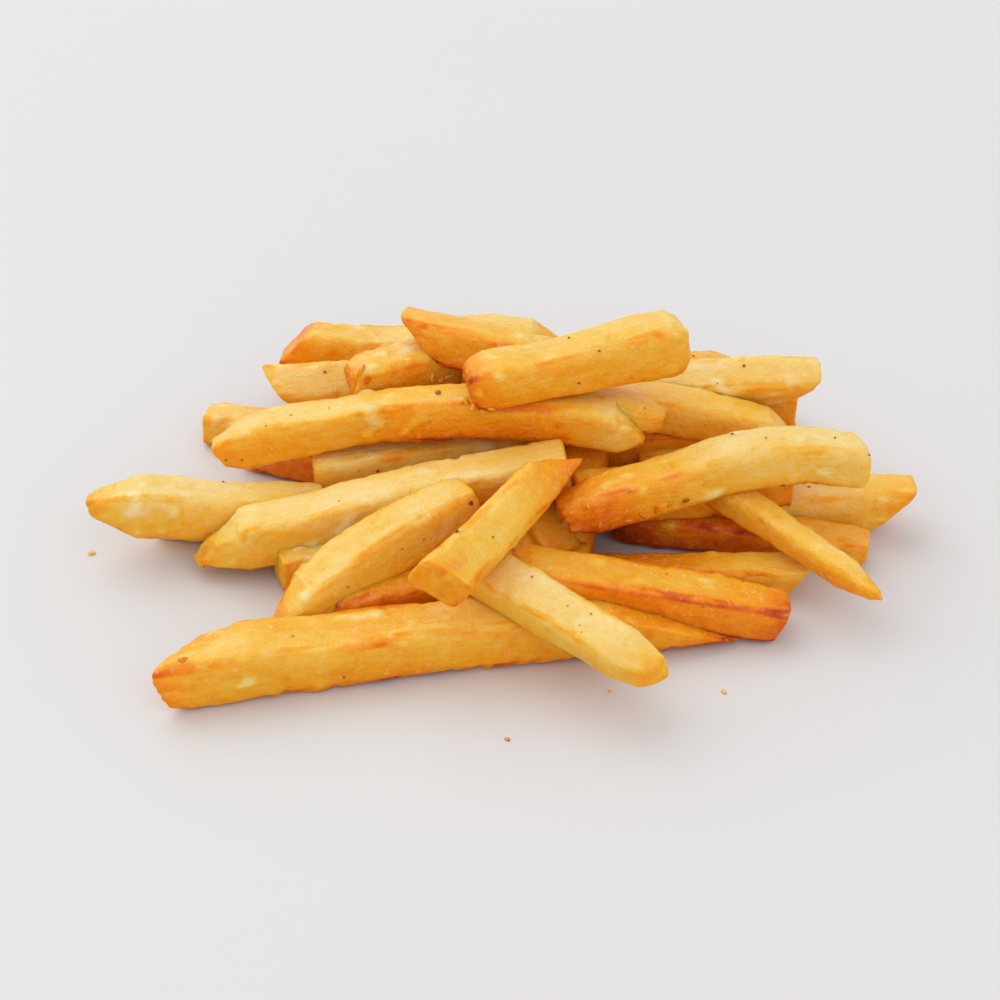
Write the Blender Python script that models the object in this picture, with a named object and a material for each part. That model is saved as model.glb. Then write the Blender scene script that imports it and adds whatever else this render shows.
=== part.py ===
"""A heap of french fries lying on its own, built as one solid.

Every fry is a cut potato stick: a cuboid with its long edges bevelled, cut
into sections, then tapered, bowed and slanted at its ends. A low core under
the middle joins them. The lengths are in metres once MM has scaled them.
"""

import math
from collections import namedtuple

import bmesh
import bpy
import numpy as np
from mathutils import Vector

MM = 0.001
# The long edges of a fry are bevelled by this share of its smaller side.
EDGE_SHARE = 0.16
# The height of the ground, and no corner of a fry goes below it. The heap
# stands on one corner each of front_long, front_brown and behind_right, and on
# the flat foot of the core between them.
GROUND = -0.2
# The core: a mound under the middle of the heap. Its rim is a little off the
# ground, and its foot is this share of the rim.
CORE_MIDDLE = (4.0, 32.0)
CORE_RADII = (32.0, 15.0)
CORE_HIGH = 16.0
CORE_SIDES = 16
CORE_RIM_UP = 1.0
CORE_FOOT = 0.3
MATERIAL_COLOUR = (0.83, 0.43, 0.11, 1.0)

# One fry of the heap, in millimetres and degrees. size is its width and
# height, bow how far its middle leaves the straight line to the side and up,
# cuts the slant of the tail end (sideways, upwards) and of the head end,
# taper what the section narrows to at the two ends, nose how far from the ends
# that begins, slim how much wider the head is than the tail, wave a slow S
# upwards, and rings how many sections it has between its ends.
Fry = namedtuple(
    "Fry",
    "name middle heading pitch length size roll bow cuts taper nose slim wave rings",
    defaults=[0, (0, 0), (0, 0, 0, 0), (0.9, 0.9), (3, 3), 0, 0, 6],
)

# The fries that the photograph shows, from the front of the heap to its top.
SHOWN = [
    Fry("front_long", (-11.5, -21.5, 5.2), 10, 0, 86, (10.5, 10.0), 2,
        (2, 0), (48, -20, 0, -70), (0.85, 0.9), (4, 3), -0.15),
    Fry("front_hanging", (10, -24.4, 12.8), -40, -5, 42, (8.5, 7.5), 15,
        (0, 1), (0, 0, 25, -15), (1.0, 0.62), (3, 7)),
    Fry("front_crossing", (0.2, -10.4, 22.6), 58, 3, 39, (8.8, 7.5), 35,
        (0, 0), (-17, 0, -57, 0), (1.0, 0.65), (2, 2), -0.2),
    Fry("front_brown", (26, -11.8, 8.17), -1, -11, 49, (9.0, 8.0), 3,
        (0, 0), (0, 0, 0, 10), (0.9, 0.95), (3, 3)),
    Fry("left_pointed", (-54.5, 13, 8.6), 9, -9, 43, (9.2, 10.2), 0,
        (0, 0.5), (0, -20, 0, 0), (0.35, 1.0), (9, 3)),
    Fry("left_under", (-52.5, 17.0, 3.6), -12, 0, 24, (8.0, 7.0), rings=3),
    Fry("middle_long", (-21.2, 8.9, 12.1), 7, 11, 68.5, (9.5, 9.0), 0,
        (1, 1), (-20, 45, 0, 0), (0.5, 1.0), (8, 3)),
    Fry("middle_slanting", (-23, -7, 11.8), 34, 15, 42, (9.5, 9.5), -3,
        (1, 1.5), (24, 46, 0, 10), (0.7, 0.85), (8, 4), 0.1),
    Fry("lower_left", (-21.5, 8.0, 4.0), 20, 0, 40, (8.0, 8.0), rings=3),
    Fry("lower_front", (-14, -8, 5.1), 19, 0, 34, (8.0, 10.0), rings=3),
    Fry("lower_middle", (-4, -3, 8.0), -30, 0, 24, (7.0, 7.0), rings=3),
    Fry("back_left_low", (-33, 45, 3.6), -12, 0, 52, (7.5, 7.0), rings=4),
    Fry("upper_long", (-14, 23, 20.5), -4, 6.5, 79, (8.5, 8.5), 0,
        (2, 5), (0, -30, 0, -30), (0.5, 0.5), (6, 4)),
    Fry("left_tucked", (-29, 33.5, 4.5), -25, 0, 44, (9.0, 9.0), rings=3),
    Fry("upper_tucked", (-14, 26, 12.0), 6, 5, 42, (8.5, 8.0), rings=3),
    Fry("back_left_high", (-17, 53.5, 18.4), -7, 0, 48, (8.0, 8.0), 0,
        (0, 0), (0, 40, 0, 0)),
    Fry("back_left", (-18, 47, 15.0), 4, 0, 49, (9.0, 8.0), 35,
        (0, 0), (-27, -36, 0, 0), rings=4),
    Fry("top_left", (-16, 37, 24.7), 20, 3, 26, (8.5, 8.5), 0,
        (0, 0), (0, 0, 0, 0), (0.85, 0.9)),
    Fry("top_wedge", (0.5, 35, 29.0), -14, -7, 32, (8.5, 8.5), -10,
        (0, 0), (0, -50, 0, 0), (0.9, 0.9)),
    Fry("top_back", (-2, 44, 25.6), 0, 0, 28, (8.0, 8.0), 0,
        (0, 1.8), (0, 0, 0, -50)),
    Fry("top_long", (14, 24, 34.0), 12, 7, 41, (9.8, 9.8), 0,
        (0, 0), (0, 0, 0, 0), (0.8, 0.85), (3, 3), 0.12),
    Fry("right_high", (36, 37, 21.5), 3, 0, 44, (7.5, 7.5), 30,
        (0, 0), (0, 0, 0, 40)),
    Fry("right_back", (42, 46, 12.5), -5, -4, 32, (8.0, 8.0), rings=3),
    Fry("right_blistered", (33, 29.5, 19.2), 0, -12, 45, (8.5, 8.0), 0,
        (0, 1), (0, 0, 0, -20), (1.0, 0.6), (3, 5)),
    Fry("upper_short", (18, 25, 24.2), -14, -8, 26, (6.8, 6.8), 0,
        (0, 0), (0, 0, 0, 0), (0.9, 0.5), (3, 5), rings=4),
    Fry("right_tucked", (28, 30, 12.6), 6, 0, 40, (8.0, 8.0), rings=3),
    Fry("right_long", (38.5, 8.2, 19.0), 13, 3, 57, (9.0, 9.0), 0,
        (3, 2.3), (0, -25, 0, 0), (0.6, 0.9), (6, 2), 0, 0.9),
    Fry("right_low", (57.4, 18.9, 5.4), 4, 1.5, 34, (9.0, 9.0), 0,
        (0, 0), (0, 0, 0, 48), rings=4),
    Fry("right_sliver", (52, 1, 11.6), -45, -8, 43, (5.6, 5.2), 0,
        (0, 0), (0, 0, 0, 0), (1.0, 0.3), (3, 8), -0.4),
    Fry("right_floor", (45, 13.0, 3.7), -12, 0, 47, (8.0, 6.6), slim=-0.3, rings=4),
    Fry("right_floor_front", (33.5, -0.8, 3.6), 0, 0, 41, (7.0, 7.0), 0,
        (0, 0), (0, 0, 0, 35), rings=4),
    Fry("middle_steep", (15, 18, 11.0), -100, -20, 30, (8.5, 8.0), rings=3),
    Fry("middle_steep_left", (6.5, 13, 8.0), -68, -8, 28, (8.0, 7.5), rings=3),
]

# The fries behind and below them, which carry the heap and finish its back.
BEHIND = [
    Fry("under_front", (2.3, 6.9, 4.3), -14, 0, 30, (8.4, 8.4), rings=2),
    Fry("under_middle", (24, 25, 4.2), 5, 0, 46, (8.4, 8.2), rings=2),
    Fry("under_left", (-8, 21, 4.1), 10, 0, 42, (8.2, 8.0), rings=2),
    Fry("under_back", (6, 43, 4.3), -6, 0, 54, (8.6, 8.4), rings=2),
    Fry("under_right", (46, 36, 4.3), -4, 0, 40, (8.4, 8.2), rings=2),
    Fry("carrying_right", (45, 26.5, 9.6), 5, 1, 38, (8.2, 8.0), rings=2),
    Fry("carrying_front_right", (34, 14.5, 12.0), 9, 0, 40, (8.8, 8.8), rings=2),
    Fry("carrying_back_right", (37, 46.5, 4.5), 2, 0, 42, (8.6, 8.4), rings=3),
    Fry("carrying_back_left", (-17, 51, 9.4), 5, 1, 46, (8.6, 8.2), rings=3),
    Fry("carrying_middle", (-4, 36, 12.6), 14, 0, 54, (8.4, 8.4), rings=2),
    Fry("carrying_top", (2, 38, 20.0), -12, 0, 50, (8.4, 8.4), rings=2),
    Fry("behind_left", (-14, 59.5, 4.3), 7, 0, 52, (8.8, 8.4), 0,
        (1.5, 0), (0, 30, 0, -25), (0.8, 0.9), (5, 3)),
    Fry("behind_right", (32, 58, 4.9), -13, 2.5, 50, (8.4, 8.2), 2,
        (-1.5, 0), (0, 20, 0, 35), (0.9, 0.7), (3, 5)),
    Fry("behind_middle", (12, 53.5, 10.8), -5, 2, 50, (8.6, 8.4), 0,
        (0, 1), (0, -25, 0, -30), (0.85, 0.85), (3, 4)),
    Fry("behind_high", (22, 46.5, 17.0), -6, -3, 40, (8.2, 8.2), 20,
        (0, 0), (0, 20, 0, -40), (0.9, 0.8), (3, 4)),
    Fry("behind_leaning", (34, 54.5, 11.0), 38, -14, 34, (8.0, 7.6), 0,
        (0, 1), (0, 0, 0, 20), (0.9, 0.75), (3, 4)),
    Fry("behind_leaning_left", (-34, 54, 8.0), 121, -12, 31, (7.8, 7.6), 6,
        (0, 1), (0, 0, 0, -20), (0.9, 0.8), (3, 4)),
]


def clear_scene():
    for obj in list(bpy.data.objects):
        bpy.data.objects.remove(obj)


def new_collection(name):
    collection = bpy.data.collections.new(name)
    bpy.context.scene.collection.children.link(collection)
    return collection


def add_object(name, shape, collection):
    """An object of that name from a bmesh, linked to the collection."""
    mesh = bpy.data.meshes.new(name)
    shape.to_mesh(mesh)
    shape.free()
    obj = bpy.data.objects.new(name, mesh)
    collection.objects.link(obj)
    return obj


def axes_of(fry):
    """The directions along, beside and above a fry."""
    heading = math.radians(fry.heading)
    pitch = math.radians(fry.pitch)
    roll = math.radians(fry.roll)
    flat = Vector((math.cos(heading), math.sin(heading), 0.0))
    along = flat * math.cos(pitch) + Vector((0.0, 0.0, math.sin(pitch)))
    side = Vector((-math.sin(heading), math.cos(heading), 0.0))
    above = along.cross(side)
    turned_side = side * math.cos(roll) + above * math.sin(roll)
    turned_above = above * math.cos(roll) - side * math.sin(roll)
    return along, turned_side, turned_above


def end_room(fry, nose, cut_side, cut_up):
    """How long an end is: its nose, or more where a steep cut needs it."""
    lean_side = abs(math.tan(math.radians(cut_side))) * fry.size[0] / 2
    lean_up = abs(math.tan(math.radians(cut_up))) * fry.size[1] / 2
    return max(nose, lean_side + lean_up + 1.0)


def section_places(fry):
    """Where along the fry its sections are cut, from -0.5 to 0.5."""
    tail = end_room(fry, fry.nose[0], fry.cuts[0], fry.cuts[1])
    head = end_room(fry, fry.nose[1], fry.cuts[2], fry.cuts[3])
    first = -0.5 + tail / fry.length
    last = 0.5 - head / fry.length
    return np.linspace(first, last, fry.rings)


def fry_stick(fry):
    """A straight stick along X, its long edges bevelled and its sections cut."""
    width, height = fry.size
    stick = bmesh.new()
    bmesh.ops.create_cube(stick, size=1.0)
    bmesh.ops.scale(stick, vec=(fry.length, width, height), verts=stick.verts)
    long_edges = []
    for edge in stick.edges:
        step = edge.verts[1].co - edge.verts[0].co
        if abs(step.x) > fry.length / 2:
            long_edges.append(edge)
    bmesh.ops.bevel(
        stick,
        geom=long_edges,
        offset=EDGE_SHARE * min(width, height),
        segments=1,
        affect="EDGES",
        profile=0.5,
    )
    for place in section_places(fry):
        everything = list(stick.verts) + list(stick.edges) + list(stick.faces)
        bmesh.ops.bisect_plane(
            stick,
            geom=everything,
            plane_co=(place * fry.length, 0.0, 0.0),
            plane_no=(1.0, 0.0, 0.0),
        )
    return stick


def end_slant(fry, place):
    """How far an end's corners lean along the fry, sideways and upwards."""
    if place < -0.4999:
        turns = fry.cuts[:2]
    elif place > 0.4999:
        turns = fry.cuts[2:]
    else:
        turns = (0, 0)
    return math.tan(math.radians(turns[0])), math.tan(math.radians(turns[1]))


def section_scale(fry, place):
    scale = 1.0 + fry.slim * place
    if place < -0.4999:
        scale *= fry.taper[0]
    if place > 0.4999:
        scale *= fry.taper[1]
    return scale


def shape_fry(stick, fry):
    """Tapers, bows and slants the stick, then lays it in its place."""
    along, side, above = axes_of(fry)
    for corner in stick.verts:
        place = corner.co.x / fry.length
        scale = section_scale(fry, place)
        sideways = corner.co.y * scale
        upwards = corner.co.z * scale
        lean_side, lean_up = end_slant(fry, place)
        forwards = corner.co.x + sideways * lean_side + upwards * lean_up
        bend = 0.5 - 4.0 * place * place
        sideways += fry.bow[0] * bend
        upwards += fry.bow[1] * bend
        upwards += fry.wave * math.sin(2.0 * math.pi * place)
        spot = Vector(fry.middle)
        spot += along * forwards + side * sideways + above * upwards
        spot.z = max(spot.z, GROUND)
        corner.co = spot


def add_fry(fry, collection):
    stick = fry_stick(fry)
    shape_fry(stick, fry)
    return add_object(fry.name, stick, collection)


def add_foot(mound):
    """Draws the underside of the mound down to a smaller flat face."""
    underside = [face for face in mound.faces if face.normal.z < -0.9]
    drawn = bmesh.ops.extrude_face_region(mound, geom=underside)
    corners = [item for item in drawn["geom"] if isinstance(item, bmesh.types.BMVert)]
    bmesh.ops.scale(mound, vec=(CORE_FOOT, CORE_FOOT, 1.0), verts=corners)
    bmesh.ops.translate(mound, vec=(0.0, 0.0, -CORE_RIM_UP), verts=corners)
    bmesh.ops.delete(mound, geom=underside, context="FACES_ONLY")


def add_core(collection):
    """A low mound with a smaller flat foot, inside the heap."""
    mound = bmesh.new()
    bmesh.ops.create_cone(
        mound,
        cap_ends=True,
        cap_tris=False,
        segments=CORE_SIDES,
        radius1=1.0,
        radius2=0.45,
        depth=1.0,
    )
    bmesh.ops.translate(mound, vec=(0.0, 0.0, 0.5), verts=mound.verts)
    bmesh.ops.scale(
        mound,
        vec=(CORE_RADII[0], CORE_RADII[1], CORE_HIGH),
        verts=mound.verts,
    )
    add_foot(mound)
    bmesh.ops.translate(
        mound,
        vec=(CORE_MIDDLE[0], CORE_MIDDLE[1], GROUND + CORE_RIM_UP),
        verts=mound.verts,
    )
    return add_object("fries", mound, collection)


def join_all(core, sticks):
    """Unites every object of the collection sticks with the core."""
    union = core.modifiers.new("Fries joined to the core", "BOOLEAN")
    union.operation = "UNION"
    union.operand_type = "COLLECTION"
    union.collection = sticks
    union.solver = "MANIFOLD"
    bpy.context.view_layer.objects.active = core
    bpy.ops.object.modifier_apply(modifier=union.name)
    for obj in list(sticks.objects):
        bpy.data.objects.remove(obj)
    bpy.data.collections.remove(sticks)


def islands_of(shape):
    """The faces of each separate surface of a bmesh."""
    left = set(shape.faces)
    islands = []
    while left:
        start = left.pop()
        island = {start}
        queue = [start]
        while queue:
            face = queue.pop()
            for edge in face.edges:
                for other in edge.link_faces:
                    if other in left:
                        left.discard(other)
                        island.add(other)
                        queue.append(other)
        islands.append(island)
    return islands


def keep_outside(shape):
    """Fills what the joining sealed: only the biggest surface stays."""
    islands = sorted(islands_of(shape), key=len)
    for island in islands[:-1]:
        bmesh.ops.delete(shape, geom=list(island), context="FACES")


def tidy(obj):
    """Fills sealed hollows and stands the heap on the ground, centred."""
    shape = bmesh.new()
    shape.from_mesh(obj.data)
    keep_outside(shape)
    bmesh.ops.triangulate(shape, faces=shape.faces)
    spots = np.array([corner.co[:] for corner in shape.verts])
    low = spots.min(axis=0)
    high = spots.max(axis=0)
    print("the middle of the heap in the table's millimetres", (low + high) / 2)
    move = Vector((-(low[0] + high[0]) / 2, -(low[1] + high[1]) / 2, -low[2]))
    bmesh.ops.translate(shape, vec=move, verts=shape.verts)
    bmesh.ops.scale(shape, vec=(MM, MM, MM), verts=shape.verts)
    shape.to_mesh(obj.data)
    shape.free()


def fried_potato():
    material = bpy.data.materials.new("fried_potato")
    material.use_nodes = True
    shader = material.node_tree.nodes["Principled BSDF"]
    shader.inputs["Base Color"].default_value = MATERIAL_COLOUR
    shader.inputs["Roughness"].default_value = 0.45
    material.diffuse_color = MATERIAL_COLOUR
    return material


def main():
    clear_scene()
    heap = new_collection("french_fries_portion")
    sticks = new_collection("sticks")
    core = add_core(heap)
    for fry in SHOWN + BEHIND:
        add_fry(fry, sticks)
    join_all(core, sticks)
    tidy(core)
    core.data.materials.append(fried_potato())
    print("triangles", len(core.data.polygons))


main()
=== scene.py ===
# %% [markdown]
# # A portion of french fries, made in Blender
# The real thing is a loose heap of straight-cut potato sticks, fried until
# their flat sides are golden and their edges are crisp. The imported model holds
# the heap as one plain solid. This lesson puts the real fries over that solid,
# one by one, each at the place and of the size that the solid gives it, and
# then lights them like the photograph: a bare pale table under soft light.

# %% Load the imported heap
import math
from collections import namedtuple

import bmesh
import bpy
import numpy as np
from mathutils import Matrix, Vector, noise


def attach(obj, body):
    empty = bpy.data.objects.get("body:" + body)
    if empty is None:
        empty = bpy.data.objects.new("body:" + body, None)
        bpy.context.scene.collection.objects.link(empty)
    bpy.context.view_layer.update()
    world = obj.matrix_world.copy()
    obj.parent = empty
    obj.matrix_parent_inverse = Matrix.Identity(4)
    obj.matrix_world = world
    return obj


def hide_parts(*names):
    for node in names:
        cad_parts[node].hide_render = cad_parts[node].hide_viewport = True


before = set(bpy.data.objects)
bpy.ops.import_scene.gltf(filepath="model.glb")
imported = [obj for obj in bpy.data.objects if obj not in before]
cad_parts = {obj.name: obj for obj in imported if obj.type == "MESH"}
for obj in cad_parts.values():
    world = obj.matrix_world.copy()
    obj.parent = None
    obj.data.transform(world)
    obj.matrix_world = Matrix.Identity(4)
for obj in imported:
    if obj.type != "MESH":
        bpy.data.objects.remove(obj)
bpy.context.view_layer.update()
bpy.ops.object.select_all(action="DESELECT")

# %% [markdown]
# ## The words that describe one fry
# A fry is a potato stick, so a few numbers say all of its large shape: where
# its middle is, where it points, how long and thick it is, and how its ends
# are cut. The same numbers shaped the solid, so that the fries here lie
# exactly over it. They are in millimetres and degrees.

# %% Describe a fry
MM = 0.001
Fry = namedtuple(
    "Fry",
    "name middle heading pitch length size roll bow cuts taper nose slim wave",
    defaults=[0, (0, 0), (0, 0, 0, 0), (0.9, 0.9), (3, 3), 0, 0],
)
print("a fry is described by", len(Fry._fields), "values")

# %% [markdown]
# ## The fries that the photograph shows
# They are listed from the front of the heap to its top. `bow` is how far the
# middle leaves the straight line, `cuts` how the two ends slant, `taper` what
# the ends narrow to, `nose` where that begins, `slim` how much the whole
# stick widens towards its head, and `wave` a bend to and fro.

# %% List the fries that show
SHOWN = [
    Fry("front_long", (-11.5, -21.5, 5.2), 10, 0, 86, (10.5, 10.0), 2,
        (2, 0), (48, -20, 0, -70), (0.85, 0.9), (4, 3), -0.15),
    Fry("front_hanging", (10, -24.4, 12.8), -40, -5, 42, (8.5, 7.5), 15,
        (0, 1), (0, 0, 25, -15), (1.0, 0.62), (3, 7)),
    Fry("front_crossing", (0.2, -10.4, 22.6), 58, 3, 39, (8.8, 7.5), 35,
        (0, 0), (-17, 0, -57, 0), (1.0, 0.65), (2, 2), -0.2),
    Fry("front_brown", (26, -11.8, 8.17), -1, -11, 49, (9.0, 8.0), 3,
        (0, 0), (0, 0, 0, 10), (0.9, 0.95), (3, 3)),
    Fry("left_pointed", (-54.5, 13, 8.6), 9, -9, 43, (9.2, 10.2), 0,
        (0, 0.5), (0, -20, 0, 0), (0.35, 1.0), (9, 3)),
    Fry("left_under", (-52.5, 17.0, 3.6), -12, 0, 24, (8.0, 7.0)),
    Fry("middle_long", (-21.2, 8.9, 12.1), 7, 11, 68.5, (9.5, 9.0), 0,
        (1, 1), (-20, 45, 0, 0), (0.5, 1.0), (8, 3)),
    Fry("middle_slanting", (-23, -7, 11.8), 34, 15, 42, (9.5, 9.5), -3,
        (1, 1.5), (24, 46, 0, 10), (0.7, 0.85), (8, 4), 0.1),
    Fry("lower_left", (-21.5, 8.0, 4.0), 20, 0, 40, (8.0, 8.0)),
    Fry("lower_front", (-14, -8, 5.1), 19, 0, 34, (8.0, 10.0)),
    Fry("lower_middle", (-4, -3, 8.0), -30, 0, 24, (7.0, 7.0)),
    Fry("back_left_low", (-33, 45, 3.6), -12, 0, 52, (7.5, 7.0)),
    Fry("upper_long", (-14, 23, 20.5), -4, 6.5, 79, (8.5, 8.5), 0,
        (2, 5), (0, -30, 0, -30), (0.5, 0.5), (6, 4)),
    Fry("left_tucked", (-29, 33.5, 4.5), -25, 0, 44, (9.0, 9.0)),
    Fry("upper_tucked", (-14, 26, 12.0), 6, 5, 42, (8.5, 8.0)),
    Fry("back_left_high", (-17, 53.5, 18.4), -7, 0, 48, (8.0, 8.0), 0,
        (0, 0), (0, 40, 0, 0)),
    Fry("back_left", (-18, 47, 15.0), 4, 0, 49, (9.0, 8.0), 35,
        (0, 0), (-27, -36, 0, 0)),
    Fry("top_left", (-16, 37, 24.7), 20, 3, 26, (8.5, 8.5), 0,
        (0, 0), (0, 0, 0, 0), (0.85, 0.9)),
    Fry("top_wedge", (0.5, 35, 29.0), -14, -7, 32, (8.5, 8.5), -10,
        (0, 0), (0, -50, 0, 0), (0.9, 0.9)),
    Fry("top_back", (-2, 44, 25.6), 0, 0, 28, (8.0, 8.0), 0,
        (0, 1.8), (0, 0, 0, -50)),
    Fry("top_long", (14, 24, 34.0), 12, 7, 41, (9.8, 9.8), 0,
        (0, 0), (0, 0, 0, 0), (0.8, 0.85), (3, 3), 0.12),
    Fry("right_high", (36, 37, 21.5), 3, 0, 44, (7.5, 7.5), 30,
        (0, 0), (0, 0, 0, 40)),
    Fry("right_back", (42, 46, 12.5), -5, -4, 32, (8.0, 8.0)),
    Fry("right_blistered", (33, 29.5, 19.2), 0, -12, 45, (8.5, 8.0), 0,
        (0, 1), (0, 0, 0, -20), (1.0, 0.6), (3, 5)),
    Fry("upper_short", (18, 25, 24.2), -14, -8, 26, (6.8, 6.8), 0,
        (0, 0), (0, 0, 0, 0), (0.9, 0.5), (3, 5)),
    Fry("right_tucked", (28, 30, 12.6), 6, 0, 40, (8.0, 8.0)),
    Fry("right_long", (38.5, 8.2, 19.0), 13, 3, 57, (9.0, 9.0), 0,
        (3, 2.3), (0, -25, 0, 0), (0.6, 0.9), (6, 2), 0, 0.9),
    Fry("right_low", (57.4, 18.9, 5.4), 4, 1.5, 34, (9.0, 9.0), 0,
        (0, 0), (0, 0, 0, 48)),
    Fry("right_sliver", (52, 1, 11.6), -45, -8, 43, (5.6, 5.2), 0,
        (0, 0), (0, 0, 0, 0), (1.0, 0.3), (3, 8), -0.4),
    Fry("right_floor", (45, 13.0, 3.7), -12, 0, 47, (8.0, 6.6), slim=-0.3),
    Fry("right_floor_front", (33.5, -0.8, 3.6), 0, 0, 41, (7.0, 7.0), 0,
        (0, 0), (0, 0, 0, 35)),
    Fry("middle_steep", (15, 18, 11.0), -100, -20, 30, (8.5, 8.0)),
    Fry("middle_steep_left", (6.5, 13, 8.0), -68, -8, 28, (8.0, 7.5)),
]
print(len(SHOWN), "fries show")

# %% [markdown]
# ## The fries behind and below
# The photograph hides them, but they carry the ones that show, and the heap
# is looked at from the back and from the sides too.

# %% List the fries that the camera does not see
BEHIND = [
    Fry("under_front", (2.3, 6.9, 4.3), -14, 0, 30, (8.4, 8.4)),
    Fry("under_middle", (24, 25, 4.2), 5, 0, 46, (8.4, 8.2)),
    Fry("under_left", (-8, 21, 4.1), 10, 0, 42, (8.2, 8.0)),
    Fry("under_back", (6, 43, 4.3), -6, 0, 54, (8.6, 8.4)),
    Fry("under_right", (46, 36, 4.3), -4, 0, 40, (8.4, 8.2)),
    Fry("carrying_right", (45, 26.5, 9.6), 5, 1, 38, (8.2, 8.0)),
    Fry("carrying_front_right", (34, 14.5, 12.0), 9, 0, 40, (8.8, 8.8)),
    Fry("carrying_back_right", (37, 46.5, 4.5), 2, 0, 42, (8.6, 8.4)),
    Fry("carrying_back_left", (-17, 51, 9.4), 5, 1, 46, (8.6, 8.2)),
    Fry("carrying_middle", (-4, 36, 12.6), 14, 0, 54, (8.4, 8.4)),
    Fry("carrying_top", (2, 38, 20.0), -12, 0, 50, (8.4, 8.4)),
    Fry("behind_left", (-14, 59.5, 4.3), 7, 0, 52, (8.8, 8.4), 0,
        (1.5, 0), (0, 30, 0, -25), (0.8, 0.9), (5, 3)),
    Fry("behind_right", (32, 58, 4.9), -13, 2.5, 50, (8.4, 8.2), 2,
        (-1.5, 0), (0, 20, 0, 35), (0.9, 0.7), (3, 5)),
    Fry("behind_middle", (12, 53.5, 10.8), -5, 2, 50, (8.6, 8.4), 0,
        (0, 1), (0, -25, 0, -30), (0.85, 0.85), (3, 4)),
    Fry("behind_high", (22, 46.5, 17.0), -6, -3, 40, (8.2, 8.2), 20,
        (0, 0), (0, 20, 0, -40), (0.9, 0.8), (3, 4)),
    Fry("behind_leaning", (34, 54.5, 11.0), 38, -14, 34, (8.0, 7.6), 0,
        (0, 1), (0, 0, 0, 20), (0.9, 0.75), (3, 4)),
    Fry("behind_leaning_left", (-34, 54, 8.0), 121, -12, 31, (7.8, 7.6), 6,
        (0, 1), (0, 0, 0, -20), (0.9, 0.8), (3, 4)),
]
print(len(BEHIND), "fries carry them or finish the back")

# %% [markdown]
# ## How brown each fry is, and its painted shade
# No two fries come out of the fat alike. The ones at the front and on top are
# pale gold, and those that lie deeper are a fuller orange, partly their own
# tone and partly painted shade and light, set by how much light reaches them.
# One number from 0, pale, to 1, brown, sets each fry apart, and its surface
# varies around that: some fries fade towards one end, and some have a browner
# or a paler place, some of them painted shade where other fries shade them.

# %% Give each fry its tone and its painted shade
# Deeper fries get browner tones, partly painted shade; the usual tone, for fries deep in the
# heap, is mostly painted shade.
USUAL_TONE_WITH_SHADE = 0.66
TONES_AND_SHADE = {
    "front_long": 0.56,
    "front_hanging": 0.40,
    "front_crossing": 0.55,
    "front_brown": 0.69,
    "left_pointed": 0.38,
    "left_under": 0.45,
    "middle_long": 0.41,
    "middle_slanting": 0.46,
    "lower_left": 0.42,
    "lower_front": 0.78,
    "lower_middle": 0.80,
    "back_left_low": 0.42,
    "upper_long": 0.56,
    "left_tucked": 0.74,
    "upper_tucked": 0.44,
    "back_left_high": 0.40,
    "back_left": 0.38,
    "top_left": 0.50,
    "top_wedge": 0.58,
    "top_back": 0.45,
    "top_long": 0.50,
    "right_high": 0.36,
    "right_back": 0.44,
    "right_blistered": 0.46,
    "upper_short": 0.46,
    "right_tucked": 0.56,
    "right_long": 0.50,
    "right_low": 0.46,
    "right_sliver": 0.52,
    "right_floor": 0.74,
    "right_floor_front": 0.78,
}
# How much browner the head of a fry is than its tail, partly painted
# shade where one end lies in shadow.
FADES_AND_SHADE = {
    "upper_long": 0.32,
    "right_long": -0.34,
    "front_crossing": 0.12,
    "right_floor": -0.30,
    "right_floor_front": -0.60,
    "top_long": -0.14,
    "back_left_high": -0.24,
    "top_left": -0.16,
    "right_sliver": 0.12,
    "front_hanging": -0.08,
}
# Browner places, or paler ones below 0, some of them painted shade where
# another fry shades this one: where along the fry, how much browner and how
# wide, in mm.
STAINS_AND_SHADE = {
    "upper_long": ((0.0, 0.09, 9.0), (37.0, -0.30, 7.0)),
    "right_long": ((-24.0, 0.17, 8.0),),
    "front_crossing": ((16.0, 0.12, 8.0),),
    "top_long": ((-20.0, 0.12, 4.0),),
    "back_left_high": ((-23.0, 0.15, 4.0),),
    "left_pointed": ((-21.0, 0.16, 4.0),),
    "right_low": ((17.0, 0.06, 3.0),),
    "front_brown": ((24.0, 0.10, 4.0),),
}
print("the tones run from", min(TONES_AND_SHADE.values()), "to", max(TONES_AND_SHADE.values()))

# %% [markdown]
# ## Which fries are rougher
# Most fries have clean cut ends and a few small blisters. On some the
# photograph shows a torn end, or a skin that is blistered all over.

# %% Say how rough they are
# Fries that are blistered more than the usual 1.
BLISTERED = {"right_blistered": 2.4, "upper_long": 1.5, "front_long": 1.4, "right_long": 1.3}
# How torn the tail and the head of a fry are, where they are not cut clean.
RAGGED = {
    "front_long": (1.0, 0.2),
    "right_long": (1.0, 0.1),
    "middle_long": (0.8, 0.0),
    "upper_long": (0.3, 0.6),
    "left_pointed": (0.4, 0.0),
    "top_left": (0.8, 0.2),
    "middle_slanting": (0.4, 0.2),
    "right_blistered": (0.2, 0.5),
}
USUAL_RAGGED = (0.15, 0.15)
print(len(BLISTERED), "fries are more blistered and", len(RAGGED), "more torn than usual")

# %% [markdown]
# ## A blank stick
# Every fry starts as the same thing, a round bar that is cut into many rings,
# with rings inset on its ends. It is modelled once for short, middling and
# long fries, so that the rings lie about as close on each, and then copied.
# A bar bends and rounds more evenly than a box, and is squared afterwards.

# %% Pick edges and faces in edit mode


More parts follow.
